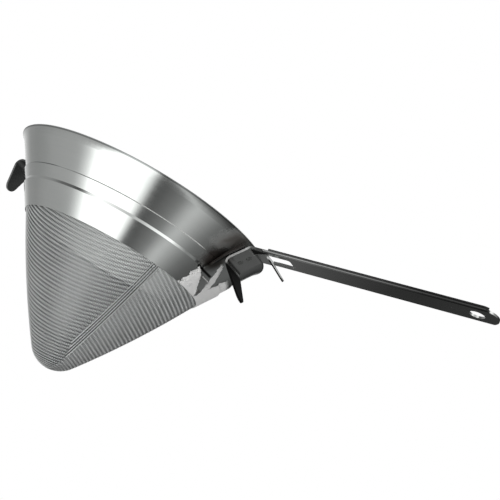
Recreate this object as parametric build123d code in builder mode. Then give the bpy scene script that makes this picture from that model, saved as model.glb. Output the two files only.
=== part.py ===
from build123d import *
from math import cos, hypot, radians, sin
import os

# Chinois strainer: a steel rim band, a woven mesh cone held under a clamp band,
# a strap handle on a saddle plate, and a pot hook opposite the handle.
# Frame: origin at the centre of the mouth, +Z up the cone's axis, +X along the handle.
# Lengths are in millimetres, angles in degrees.

# Rim band
rim_radius = 100.0
lip_flare = 4.1
lip_height = 4.6
wall_angle = 33.3
wall_length = 49.2
band_sheet = 0.8

# Clamp band and the mesh margin under it
clamp_top = 19.9
joggle_at = 31.1
joggle_run = 1.6
clamp_sheet = 0.8
mesh_thickness = 1.0
lay_gap = 0.05
margin_inset = 0.6

# Mesh cone
tip_depth = 137.0
tip_radius = 20.5
tip_half_angle = 37.0
seam_azimuth = -27.0
panel_arc = 180.0

# Openings through the cone, a coarse stand-in for the gaps between its wires
opening_columns = 12
opening_rows = 8
opening_share = 0.72

# Handle strap
strap_sheet = 1.5
strap_width = 24.0
strap_rise = 5.6
strap_length = 174.5
strap_root_from_rim = 4.6
strap_root_z = -5.4
end_sagitta = 8.0
flange_height = 2.8
edge_bend = 2.2
inner_bend = 0.6
flange_run_out = 14.0
hang_hole_radius = 5.25
hang_hole_from_end = 14.5

# Leg and rear tongue, the strap's turned-down end
leg_drop = 14.2
leg_inset = 13.0
leg_overlap = 9.0
rim_bend_radius = 3.0
heel_bend_radius = 4.0
tongue_reach = 20.4
tongue_drop = 21.0
tongue_tip_width = 12.0

# Lanced stop tab under the strap
window_start = 9.5
window_length = 19.0
window_width = 12.0
window_corner = 2.0
tab_angle = 38.4
tab_length = 21.5
tab_root_width = 11.0
tab_tip_width = 4.0

# Saddle plate
saddle_sheet = 1.2
saddle_half_arc = 9.0
saddle_top = 3.0
saddle_bend_at = 15.5
saddle_foot_from_edge = 0.4
saddle_bend_radius = 4.0

# Front hook
hook_azimuth = 180.0
hook_sheet = 1.5
hook_width = 20.0
hook_tip_width = 12.0
hook_base_top = 2.2
hook_base_foot = 19.0
hook_reach_from_rim = 16.5
hook_top_z = -2.6
hook_tip_z = -28.5
hook_flare = 1.5
hook_root_bend = 2.5
hook_crown_bend = 5.0

# Spot welds
weld_radius = 2.0
weld_height = 0.3
saddle_weld_azimuth = 5.0
saddle_weld_at = 36.0
saddle_weld_pitch = 8.5
leg_weld_at = 6.0
leg_weld_pitch = 6.5
hook_weld_at = 7.0
hook_weld_pitch = 7.0

# One length by which every cut runs past the solid it cuts
overrun = 5.0

# The wall's own frame: s runs down the wall from the neck, n stands out of its outer face
neck_radius = rim_radius - lip_flare
neck_z = -lip_height
wall_sin = sin(radians(wall_angle))
wall_cos = cos(radians(wall_angle))


def wall_point(s, n):
    """Radius and height of a point s down the wall and n outside its outer face."""
    return (
        neck_radius - s * wall_sin + n * wall_cos,
        neck_z - s * wall_cos - n * wall_sin,
    )


def radial_plane(azimuth):
    """Upright plane through the cone's axis: local x is the radius, local y is up."""
    angle = radians(azimuth)
    return Plane(
        origin=(0, 0, 0),
        x_dir=(cos(angle), sin(angle), 0),
        z_dir=(sin(angle), -cos(angle), 0),
    )


def wall_plane(azimuth, s, n):
    """Plane lying on the wall at a station: local x runs down the wall, local z outwards."""
    radius, height = wall_point(s, n)
    angle = radians(azimuth)
    return Plane(
        origin=(radius * cos(angle), radius * sin(angle), height),
        x_dir=(-wall_sin * cos(angle), -wall_sin * sin(angle), -wall_cos),
        z_dir=(wall_cos * cos(angle), wall_cos * sin(angle), -wall_sin),
    )


# Rim band: a conical sheet whose upper edge flares out into a thin lip
with BuildPart() as rim_band:
    with BuildSketch(Plane.XZ):
        with BuildLine():
            outer_wall = Line(wall_point(wall_length, 0), wall_point(0, 0))
            outer_lip = TangentArc(outer_wall @ 1, (rim_radius, 0), tangent=outer_wall % 1)
            lip_normal = (outer_lip % 1).rotate(Axis.Z, 90)
            lip_edge = Line(outer_lip @ 1, outer_lip @ 1 + lip_normal * band_sheet)
            inner_lip = TangentArc(
                lip_edge @ 1, wall_point(0, -band_sheet), tangent=(outer_lip % 1) * -1
            )
            inner_wall = Line(inner_lip @ 1, wall_point(wall_length, -band_sheet))
            Line(inner_wall @ 1, outer_wall @ 0)
        make_face()
    revolve(axis=Axis.Z)

# Clamp band: lies on the rim band, then steps out over the mesh margin
under_clamp = lay_gap
over_mesh = mesh_thickness + 2 * lay_gap
with BuildPart() as clamp_band:
    with BuildSketch(Plane.XZ):
        with BuildLine():
            Polyline(
                wall_point(clamp_top, under_clamp),
                wall_point(joggle_at - joggle_run, under_clamp),
                wall_point(joggle_at, over_mesh),
                wall_point(wall_length, over_mesh),
                wall_point(wall_length, over_mesh + clamp_sheet),
                wall_point(joggle_at - joggle_run / 2, over_mesh + clamp_sheet),
                wall_point(joggle_at - 3 * joggle_run / 2, under_clamp + clamp_sheet),
                wall_point(clamp_top, under_clamp + clamp_sheet),
                close=True,
            )
        make_face()
    revolve(axis=Axis.Z)

# Mesh cone: the straight margin, a lightly crowned side and a round tip
tip_centre_z = tip_radius - tip_depth
tip_sin = sin(radians(tip_half_angle))
tip_cos = cos(radians(tip_half_angle))
crown_tangent = (tip_sin, tip_cos)


def tip_point(radius, half_angle):
    """Point on a tip arc of the given radius, at an angle up from level."""
    return (
        radius * cos(radians(half_angle)),
        tip_centre_z - radius * sin(radians(half_angle)),
    )


def side_point(share, off_side):
    """Point a share of the way down the cone's side, and off it along the side's normal."""
    head_radius, head_z = wall_point(wall_length, mesh_thickness + lay_gap)
    foot_radius, foot_z = tip_point(tip_radius, tip_half_angle)
    run, drop = head_radius - foot_radius, head_z - foot_z
    length = hypot(run, drop)
    return (
        head_radius - share * run + off_side * drop / length,
        head_z - share * drop - off_side * run / length,
    )


def mesh_panel(azimuth):
    """Half of the mesh cone, from one seam to the other, with its rows of openings."""
    column_arc = panel_arc / opening_columns
    solid_share = 1 - opening_share
    with BuildPart() as panel:
        with BuildSketch(radial_plane(azimuth)):
            with BuildLine():
                outer = mesh_thickness + lay_gap
                inner_tip = tip_radius - mesh_thickness
                top = joggle_at + margin_inset
                outer_margin = Line(wall_point(top, outer), wall_point(wall_length, outer))
                outer_side = TangentArc(
                    tip_point(tip_radius, tip_half_angle), outer_margin @ 1, tangent=crown_tangent
                )
                outer_tip = ThreePointArc(
                    outer_side @ 0,
                    tip_point(tip_radius, (tip_half_angle + 90) / 2),
                    (0, tip_centre_z - tip_radius),
                )
                tip_wall = Line(outer_tip @ 1, (0, tip_centre_z - inner_tip))
                inner_tip_arc = ThreePointArc(
                    tip_wall @ 1,
                    tip_point(inner_tip, (tip_half_angle + 90) / 2),
                    tip_point(inner_tip, tip_half_angle),
                )
                inner_side = TangentArc(
                    inner_tip_arc @ 1, wall_point(wall_length, lay_gap), tangent=crown_tangent
                )
                inner_margin = Line(inner_side @ 1, wall_point(top, lay_gap))
                Line(inner_margin @ 1, outer_margin @ 0)
            make_face()
        revolve(axis=Axis.Z, revolution_arc=panel_arc)
        for column in range(opening_columns):
            start = azimuth + (column + solid_share / 2) * column_arc
            with BuildSketch(radial_plane(start)):
                for row in range(opening_rows):
                    upper = (row + solid_share / 2) / opening_rows
                    lower = upper + opening_share / opening_rows
                    Polygon(
                        side_point(upper, -overrun),
                        side_point(upper, overrun),
                        side_point(lower, overrun),
                        side_point(lower, -overrun),
                        align=None,
                    )
            revolve(
                axis=Axis.Z,
                revolution_arc=opening_share * column_arc,
                mode=Mode.SUBTRACT,
            )
    return panel


rear_mesh_panel = mesh_panel(seam_azimuth)
front_mesh_panel = mesh_panel(seam_azimuth + panel_arc)

# Handle: a strap with turned-up edges, whose inner end turns down into a leg and a tongue
rise = radians(strap_rise)
strap_root_x = rim_radius + strap_root_from_rim
strap_plane = Plane(
    origin=(strap_root_x, 0, strap_root_z),
    x_dir=(cos(rise), 0, sin(rise)),
    z_dir=(-sin(rise), 0, cos(rise)),
)
half_sheet = strap_sheet / 2
bend_point = (
    strap_root_x - half_sheet * sin(rise),
    strap_root_z + half_sheet * cos(rise),
)
strap_point = (
    bend_point[0] + leg_overlap * cos(rise),
    bend_point[1] + leg_overlap * sin(rise),
)
heel_point = (bend_point[0] - leg_inset, bend_point[1] - leg_drop)
tongue_point = (heel_point[0] + tongue_reach, heel_point[1] - tongue_drop)
tongue_length = hypot(tongue_reach, tongue_drop)
tongue_x = tongue_reach / tongue_length
tongue_z = tongue_drop / tongue_length
tongue_plane = Plane(
    origin=(tongue_point[0], 0, tongue_point[1]),
    x_dir=(tongue_x, 0, -tongue_z),
    z_dir=(tongue_z, 0, tongue_x),
)
strap_straight = strap_length - end_sagitta
tab_plane = strap_plane * Location((window_start, 0, 0), (0, tab_angle, 0))

with BuildPart() as handle:
    # Strap blank with its round end, as deep as the turned-up edges
    with BuildSketch(strap_plane):
        with BuildLine():
            near_side = Line((0, -strap_width / 2), (strap_straight, -strap_width / 2))
            far_end = (strap_straight, strap_width / 2)
            round_end = ThreePointArc(near_side @ 1, (strap_length, 0), far_end)
            far_side = Line(round_end @ 1, (0, strap_width / 2))
            Line(far_side @ 1, near_side @ 0)
        make_face()
    extrude(amount=flange_height)
    long_edges = handle.edges().filter_by(GeomType.LINE).sort_by(SortBy.LENGTH)[-4:]
    fillet(long_edges.sort_by(strap_plane.location.z_axis)[:2], radius=edge_bend)
    # Channel between the turned-up edges
    with BuildSketch(strap_plane.offset(strap_sheet)):
        with Locations((strap_length / 2, 0)):
            RectangleRounded(
                strap_length + 2 * overrun, strap_width - 2 * strap_sheet, inner_bend
            )
    extrude(amount=flange_height, mode=Mode.SUBTRACT)
    # The edges run down to nothing towards the rim
    with BuildSketch(strap_plane.rotated((90, 0, 0))):
        Polygon(
            (-overrun, strap_sheet),
            (0, strap_sheet),
            (flange_run_out, flange_height),
            (flange_run_out, flange_height + overrun),
            (-overrun, flange_height + overrun),
            align=None,
        )
    extrude(amount=strap_width, both=True, mode=Mode.SUBTRACT)
    # Leg, heel bend and tongue in one bent strip
    with BuildSketch(Plane.XZ):
        with BuildLine():
            FilletPolyline(
                strap_point,
                bend_point,
                heel_point,
                tongue_point,
                radius=(rim_bend_radius, heel_bend_radius),
            )
        trace(line_width=strap_sheet)
    extrude(amount=strap_width / 2, both=True)
    # The tongue narrows to a round tip
    with BuildSketch(tongue_plane):
        with Locations((-tongue_length / 2, 0)):
            Rectangle(tongue_length + overrun, strap_width + overrun)
        with BuildSketch(mode=Mode.SUBTRACT):
            with Locations((-tongue_length, 0)):
                Rectangle(tongue_length / 2, strap_width)
            with Locations((-tongue_tip_width / 2, 0)):
                Circle(tongue_tip_width / 2)
            make_hull()
    extrude(amount=2 * strap_sheet, both=True, mode=Mode.SUBTRACT)
    # Window, and the tab that was cut and bent out of it
    with BuildSketch(strap_plane):
        with Locations((window_start + window_length / 2, 0)):
            RectangleRounded(window_length, window_width, window_corner)
    extrude(amount=overrun, both=True, mode=Mode.SUBTRACT)
    with BuildSketch(tab_plane):
        with Locations((0, 0)):
            Rectangle(2 * strap_sheet, tab_root_width)
        with Locations((tab_length - tab_tip_width / 2, 0)):
            Circle(tab_tip_width / 2)
        make_hull()
    extrude(amount=strap_sheet)
    # Hole to hang it by
    with BuildSketch(strap_plane):
        with Locations((strap_length - hang_hole_from_end, 0)):
            Circle(hang_hole_radius)
    extrude(amount=overrun, both=True, mode=Mode.SUBTRACT)

# Saddle plate: its foot lies on the clamp band, its upper end on the inside of the leg
leg_length = hypot(leg_inset, leg_drop)
leg_normal = (leg_drop / leg_length, -leg_inset / leg_length)
saddle_off_leg = half_sheet + lay_gap + saddle_sheet / 2
saddle_on_band = over_mesh + clamp_sheet + lay_gap + saddle_sheet / 2


def leg_back(share):
    """Point on the saddle's mid-plane behind the leg, a share of the way down it."""
    return (
        bend_point[0] - share * leg_inset - leg_normal[0] * saddle_off_leg,
        bend_point[1] - share * leg_drop - leg_normal[1] * saddle_off_leg,
    )


def leg_plane(station):
    """Plane on the leg's outer face at a station down it: local z points outwards."""
    share = station / leg_length
    return Plane(
        origin=(
            bend_point[0] - share * leg_inset + leg_normal[0] * half_sheet,
            0,
            bend_point[1] - share * leg_drop + leg_normal[1] * half_sheet,
        ),
        x_dir=(0, 1, 0),
        z_dir=(leg_normal[0], 0, leg_normal[1]),
    )


saddle_top_share = saddle_top / leg_length
saddle_bend_share = saddle_bend_at / leg_length
with BuildPart() as handle_saddle:
    with BuildSketch(radial_plane(-saddle_half_arc)):
        with BuildLine():
            FilletPolyline(
                leg_back(saddle_top_share),
                leg_back(saddle_bend_share),
                wall_point(joggle_at, saddle_on_band),
                wall_point(wall_length - saddle_foot_from_edge, saddle_on_band),
                radius=saddle_bend_radius,
            )
        trace(line_width=saddle_sheet)
    revolve(axis=Axis.Z, revolution_arc=2 * saddle_half_arc)

# Front hook: a strip welded to the rim band, turned out under the lip and down to a tongue
hook_on_wall = lay_gap + hook_sheet / 2
hook_line_radius = rim_radius + hook_reach_from_rim - hook_sheet / 2
hook_line_top = hook_top_z - hook_sheet / 2
hook_tip_line = (hook_line_radius + hook_flare, hook_tip_z)
hook_plane = radial_plane(hook_azimuth)
hook_tip_plane = Plane(
    origin=hook_plane.from_local_coords((hook_tip_line[0], hook_tip_line[1], 0)),
    x_dir=(0, 0, -1),
    z_dir=hook_plane.x_dir,
)
hook_tongue_length = hook_line_top - hook_tip_z
with BuildPart() as front_hook:
    with BuildSketch(hook_plane):
        with BuildLine():
            FilletPolyline(
                wall_point(hook_base_foot, hook_on_wall),
                wall_point(hook_base_top, hook_on_wall),
                (hook_line_radius, hook_line_top),
                hook_tip_line,
                radius=(hook_root_bend, hook_crown_bend),
            )
        trace(line_width=hook_sheet)
    extrude(amount=hook_width / 2, both=True)
    with BuildSketch(hook_tip_plane):
        with Locations((-hook_tongue_length / 2, 0)):
            Rectangle(hook_tongue_length + overrun, hook_width + overrun)
        with BuildSketch(mode=Mode.SUBTRACT):
            with Locations((-hook_tongue_length, 0)):
                Rectangle(hook_tongue_length / 2, hook_width)
            with Locations((-hook_tip_width / 2, 0)):
                Circle(hook_tip_width / 2)
            make_hull()
    extrude(amount=2 * hook_sheet, both=True, mode=Mode.SUBTRACT)

# Spot welds: low round beads on the faces that they join
with BuildPart() as handle_spot_welds:
    weld_face = over_mesh + clamp_sheet + lay_gap + saddle_sheet
    for azimuth in (-saddle_weld_azimuth, saddle_weld_azimuth):
        for station in (saddle_weld_at, saddle_weld_at + saddle_weld_pitch):
            with BuildSketch(wall_plane(azimuth, station, weld_face)):
                Circle(weld_radius)
            extrude(amount=weld_height)
    for station in (leg_weld_at, leg_weld_at + leg_weld_pitch):
        with BuildSketch(leg_plane(station)):
            Circle(weld_radius)
        extrude(amount=weld_height)

with BuildPart() as hook_spot_welds:
    for station in (hook_weld_at, hook_weld_at + hook_weld_pitch):
        with BuildSketch(wall_plane(hook_azimuth, station, lay_gap + hook_sheet)):
            Circle(weld_radius)
        extrude(amount=weld_height)

for piece, label in (
    (rim_band, "rim_band"),
    (clamp_band, "clamp_band"),
    (front_mesh_panel, "front_mesh_panel"),
    (rear_mesh_panel, "rear_mesh_panel"),
    (handle, "handle"),
    (handle_saddle, "handle_saddle"),
    (front_hook, "front_hook"),
    (handle_spot_welds, "handle_spot_welds"),
    (hook_spot_welds, "hook_spot_welds"),
):
    piece.part.label = label

os.makedirs("parts", exist_ok=True)
export_step(rim_band.part, "parts/rim_band.step")
export_step(clamp_band.part, "parts/clamp_band.step")
export_step(front_mesh_panel.part, "parts/front_mesh_panel.step")
export_step(rear_mesh_panel.part, "parts/rear_mesh_panel.step")
export_step(handle.part, "parts/handle.step")
export_step(handle_saddle.part, "parts/handle_saddle.step")
export_step(front_hook.part, "parts/front_hook.step")
export_step(handle_spot_welds.part, "parts/handle_spot_welds.step")
export_step(hook_spot_welds.part, "parts/hook_spot_welds.step")
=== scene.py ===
"""Chinois strainer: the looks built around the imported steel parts.

Lengths are in metres and angles in degrees, unless a name or a comment says otherwise.
A station is a length down the wall's outer face, from the neck below the rim's edge.
"""
from math import atan2, cos, hypot, pi, radians, sin

import bpy
from mathutils import Matrix, Vector

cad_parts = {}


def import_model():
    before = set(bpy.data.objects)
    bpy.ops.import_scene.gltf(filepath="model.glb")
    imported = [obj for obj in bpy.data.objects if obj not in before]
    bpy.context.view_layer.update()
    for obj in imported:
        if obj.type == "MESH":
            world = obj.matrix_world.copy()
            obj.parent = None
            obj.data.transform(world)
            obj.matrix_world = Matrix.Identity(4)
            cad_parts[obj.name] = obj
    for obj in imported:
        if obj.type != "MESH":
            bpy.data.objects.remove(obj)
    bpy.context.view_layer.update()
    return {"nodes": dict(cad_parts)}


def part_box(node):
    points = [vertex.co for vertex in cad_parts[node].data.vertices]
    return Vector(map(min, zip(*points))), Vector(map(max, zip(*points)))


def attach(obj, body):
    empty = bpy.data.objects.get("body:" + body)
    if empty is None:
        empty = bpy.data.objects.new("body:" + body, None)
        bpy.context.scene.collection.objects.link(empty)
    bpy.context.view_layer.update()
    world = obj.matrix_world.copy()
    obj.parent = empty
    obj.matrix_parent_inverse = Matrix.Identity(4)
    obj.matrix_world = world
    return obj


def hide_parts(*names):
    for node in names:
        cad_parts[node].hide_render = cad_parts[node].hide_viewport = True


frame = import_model()

MM = 0.001

# Sizes that the cloth and the welds take from the part
RIM_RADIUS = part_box("rim_band")[1].x
TIP_DEPTH = -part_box("front_mesh_panel")[0].z
CLAMP_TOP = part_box("clamp_band")[1].z
CLOTH_THICKNESS = 1.0 * MM
NECK_RADIUS = RIM_RADIUS - 4.1 * MM
NECK_Z = -4.6 * MM
WALL_ANGLE = 33.3
WALL_LENGTH = 49.2 * MM
LAY_GAP = 0.05 * MM
TIP_RADIUS = 20.5 * MM
TIP_HALF_ANGLE = 37.0
SEAM_AZIMUTH = -27.0
TIP_STEPS = 18
FLANK_STEPS = 24

# Cloth: a twill, rolled into a cone from a flat sheet, so its wires are straight on the unrolled sheet
WEAVE_PITCH = 1.01 * MM
WIRE_RADIUS = 0.29 * MM
WIRE_SIDES = 6
TWILL_REPEAT = 4.0
TWILL_FLOAT = 2.0
WARP_CRIMP = 1.2
WEFT_CRIMP = 0.8
MARGIN_SHOWN = 4.0 * MM
TIP_GATHER = 11.1 * MM
TIP_GATHER_REACH = 60.0 * MM
FRONT_GRAIN = 93.0
REAR_GRAIN = -34.0

# Hem of straight wires beside each seam: each wire ends a little further up than the one before
SEAM_WIRES = 7
SEAM_PITCH = 0.86 * MM
SEAM_WIRE_LIFT = 0.55 * MM
SEAM_WARP_RADIUS = 0.42 * MM
SEAM_WEFT_RADIUS = 0.21 * MM
SEAM_SHORTEST_RADIUS = 16.0 * MM
SEAM_END_STEP = 1.6 * MM

# Tack welds down the two side edges of the saddle plate
SADDLE_HALF_ARC = 9.0
BESIDE_SADDLE = 0.3
SADDLE_FACE = 3.2 * MM
TACK_TOP = 32.0 * MM
TACK_FOOT = 48.0 * MM
TACK_PITCH = 0.9 * MM
TACK_RADIUS = 0.75 * MM
TACK_SINK = 1.0 * MM
TACK_SEED = 7
TACK_LEAST = (0.55, 0.45, 0.35)
TACK_MOST = (1.5, 1.2, 0.9)
TACK_TURN = (6, 6, 6)

# Strap and stop tab: root of the strap's underside and of the tab's, and the tab's fall in degrees
STRAP_ROOT = (RIM_RADIUS + 4.6 * MM, -5.4 * MM)
TAB_ROOT = (STRAP_ROOT[0] + 9.45 * MM, -4.47 * MM)
TAB_FALL = 32.8

# Middles of the heat tint and painted shade round the handle's welds, of the painted dark and dull
# reflections on the band, and of the darkening round the front hook
WELD_TINT_AND_SHADE_CENTRE = (0.086, -0.014, -0.024)
BAND_DARK_REFLECTION_CENTRE = (0.0855, -0.0120, -0.0225)
DULL_REFLECTION_CENTRE = (0.0925, -0.0125, -0.0095)
HOOK_DARKENING_CENTRE = (-0.088, 0.0, -0.012)

# Zones of the front panel's cloth, one lighter and one of painted highlight, and the height that the
# lighter one starts at
LIGHTER_ZONE_AZIMUTH = -68.0
LIGHTER_ZONE_HALF_ARC = 26.0
LIGHTER_ZONE_FOOT = (-118 * MM, -104 * MM)
BRIGHT_AZIMUTH = -150.0
BRIGHT_HALF_ARC = 27.0
ZONE_MIDDLE = 3.0

# Painted highlight round the saddle, a bright patch standing in for reflections: stations in
# millimetres, azimuths and slopes in degrees
CORNER_STATION = 31.7
CORNER_AZIMUTH = -11.0
CORNER_SLOPE = 1.0
CORNER_STEP = 1.5
TORN_BY = 9.0
WAVER = 3.0
LINE_SOFTNESS = 0.4
ARM_TOP = 1.5
ARM_STATION = 19.6
ARM_AZIMUTH = -3.2
ARM_HALF_WIDTH = 1.1
ARM_LEFT_SLOPE = 0.48
ARM_RIGHT_SLOPE = 0.70
FOOT_STATION = 47.5
FOOT_AZIMUTH = 8.0
FOOT_SLOPE = -0.3
FOOT_START = (22.0, 25.0)
EDGE_STATION = 34.3
EDGE_AZIMUTHS = (-5.4, 4.6)
EDGE_HALF_WIDTH = 0.6
EDGE_STRENGTH = 0.6
GROOVE_STATION = 30.8
GROOVE_AZIMUTHS = (-12.2, 0.0)
GROOVE_HALF_WIDTH = 1.3
LINE_END = 0.5
PAINTED_LIGHT_END = (38.0, 44.0)
OUTER_FACE = (-0.4, -0.2)

# Camera, fitted to the outline of the photograph
CAMERA_PLACE = (0.49251, -0.66910, -0.19873)
CAMERA_RIGHT = (0.81226, 0.34021, 0.47380)
CAMERA_DOWN = (0.31286, 0.43143, -0.84616)
CAMERA_FORWARD = (-0.49228, 0.83554, 0.24400)
CAMERA_LENS_MM = 83.83
CAMERA_SENSOR_MM = 36.0

# Studio
FLOOR_DROP = 0.5
FLOOR_RADIUS = 1.2
FLOOR_SIDES = 96
FLOOR_COLOUR = (0.8, 0.8, 0.8, 1.0)
FLOOR_ROUGHNESS = 0.9


def wall_point(station, out):
    """Radius and height of a point at a station, so far out of the wall's outer face."""
    angle = radians(WALL_ANGLE)
    return (
        NECK_RADIUS - station * sin(angle) + out * cos(angle),
        NECK_Z - station * cos(angle) - out * sin(angle),
    )


class Tree:
    """A node tree under construction, with short calls for what its formulas repeat."""

    def __init__(self, tree):
        self.tree = tree

    def node(self, kind, settings=None, values=None):
        """Adds a node, sets its options, and sets or links its inputs by name or number."""
        made = self.tree.nodes.new(kind)
        for name, value in (settings or {}).items():
            setattr(made, name, value)
        for key, value in (values or {}).items():
            self.feed(made.inputs[key], value)
        return made

    def feed(self, socket, value):
        """Links a socket to another, or sets its value."""
        if isinstance(value, bpy.types.NodeSocket):
            self.tree.links.new(value, socket)
        else:
            socket.default_value = value

    def math(self, operation, *values):
        """One Math node."""
        inputs = dict(enumerate(values))
        return self.node("ShaderNodeMath", {"operation": operation}, inputs).outputs[0]

    def times(self, first, *others):
        """The product of several values."""
        for other in others:
            first = self.math("MULTIPLY", first, other)
        return first

    def most(self, first, *others):
        """The largest of several values."""
        for other in others:
            first = self.math("MAXIMUM", first, other)
        return first

    def rest_of(self, share):
        """What a share leaves of one."""
        return self.math("SUBTRACT", 1.0, share)

    def off(self, value, middle):
        """How far a value lies from a middle, either way."""
        return self.math("ABSOLUTE", self.math("SUBTRACT", value, middle))

    def layered(self, base, *layers):
        """A base value, and what each mask adds to it. Each layer is (mask, amount)."""
        for mask, amount in layers:
            base = self.math("MULTIPLY_ADD", mask, amount, base)
        return base

    def vector(self, operation, *values):
        """One Vector Math node's vector output."""
        inputs = dict(enumerate(values))
        return self.node("ShaderNodeVectorMath", {"operation": operation}, inputs).outputs[0]

    def split(self, vector):
        """The three components of a vector."""
        return self.node("ShaderNodeSeparateXYZ", values={0: vector}).outputs

    def join(self, x, y, z):
        """A vector from three components."""
        return self.node("ShaderNodeCombineXYZ", values={0: x, 1: y, 2: z}).outputs[0]

    def span(self, value, low, high, to_low=0.0, to_high=1.0, smooth=False):
        """A value's share of the way from low to high, mapped onto another span."""
        kind = "SMOOTHSTEP" if smooth else "LINEAR"
        values = {0: value, 1: low, 2: high, 3: to_low, 4: to_high}
        return self.node("ShaderNodeMapRange", {"interpolation_type": kind}, values).outputs[0]

    def rise(self, value, span, smooth=False):
        """Nought before a span, one past it."""
        return self.span(value, span[0], span[1], 0.0, 1.0, smooth)

    def fall(self, value, span, smooth=False):
        """One before a span, nought past it."""
        return self.span(value, span[0], span[1], 1.0, 0.0, smooth)


def new_group(name, kind, inputs, outputs):
    """A node group with named sockets. Each input is (name, socket type, default)."""
    group = bpy.data.node_groups.new(name, kind)
    for label, socket, default in inputs:
        made = group.interface.new_socket(label, in_out="INPUT", socket_type=socket)
        if default is not None:
            made.default_value = default
    for label, socket in outputs:
        group.interface.new_socket(label, in_out="OUTPUT", socket_type=socket)
    return group


def add_object(name, mesh):
    """Links a mesh into the scene as an object at the origin."""
    made = bpy.data.objects.new(name, mesh)
    bpy.context.collection.objects.link(made)
    return made


# Cloth


def cloth_profile():
    """Points (radius, height) along the middle of the cloth, from the tip's pole up to the margin."""
    half = CLOTH_THICKNESS / 2
    tip_centre = TIP_RADIUS - TIP_DEPTH
    tip_radius = TIP_RADIUS - half
    points = []
    for step in range(TIP_STEPS + 1):
        angle = radians(-90 + step / TIP_STEPS * (90 - TIP_HALF_ANGLE))
        points.append((tip_radius * cos(angle), tip_centre + tip_radius * sin(angle)))
    foot = points[-1]
    head = wall_point(WALL_LENGTH, LAY_GAP + half)
    chord = hypot(head[0] - foot[0], head[1] - foot[1])
    chord_angle = atan2(head[1] - foot[1], head[0] - foot[0])
    bend = 2 * (chord_angle - radians(90 - TIP_HALF_ANGLE))
    radius = chord / (2 * sin(bend / 2))
    for step in range(1, FLANK_STEPS + 1):
        turned = step / FLANK_STEPS * bend
        run = 2 * radius * sin(turned / 2)
        heading = radians(90 - TIP_HALF_ANGLE) + turned / 2
        points.append((foot[0] + run * cos(heading), foot[1] + run * sin(heading)))
    points.append(wall_point(WALL_LENGTH - MARGIN_SHOWN, LAY_GAP + half))
    return points


def profile_length(points):
    """Length of a run of points."""
    return sum(hypot(b[0] - a[0], b[1] - a[1]) for a, b in zip(points, points[1:]))


def on_profile(tree, curve, length, azimuth, lift):
    """Place of a point a length along the profile, turned to an azimuth and lifted off the cloth."""
    values = {"Curves": curve, "Length": length}
    sample = tree.node("GeometryNodeSampleCurve", {"mode": "LENGTH"}, values)
    place = tree.split(sample.outputs["Position"])
    run = tree.split(sample.outputs["Tangent"])
    radius = tree.math("MULTIPLY_ADD", run[2], lift, place[0])
    rise = tree.math("MULTIPLY", run[0], lift)
    x = tree.math("MULTIPLY", radius, tree.math("COSINE", azimuth))
    y = tree.math("MULTIPLY", radius, tree.math("SINE", azimuth))
    return tree.join(x, y, tree.math("SUBTRACT", place[2], rise))


def wire_tubes(tree, curves, radius, sides, material):
    """Sweeps a round wire along curves, ready to leave the tree."""
    ring = tree.node("GeometryNodeCurvePrimitiveCircle", values={"Resolution": sides, "Radius": radius})
    values = {"Curve": curves, "Profile Curve": ring.outputs["Curve"], "Fill Caps": True}
    tubes = tree.node("GeometryNodeCurveToMesh", values=values)
    smooth = tree.node("GeometryNodeSetShadeSmooth", values={"Geometry": tubes.outputs["Mesh"]})
    real = tree.node("GeometryNodeRealizeInstances", values={"Geometry": smooth.outputs["Geometry"]})
    values = {"Geometry": real.outputs["Geometry"], "Material": material}
    return tree.node("GeometryNodeSetMaterial", values=values).outputs["Geometry"]


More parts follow.
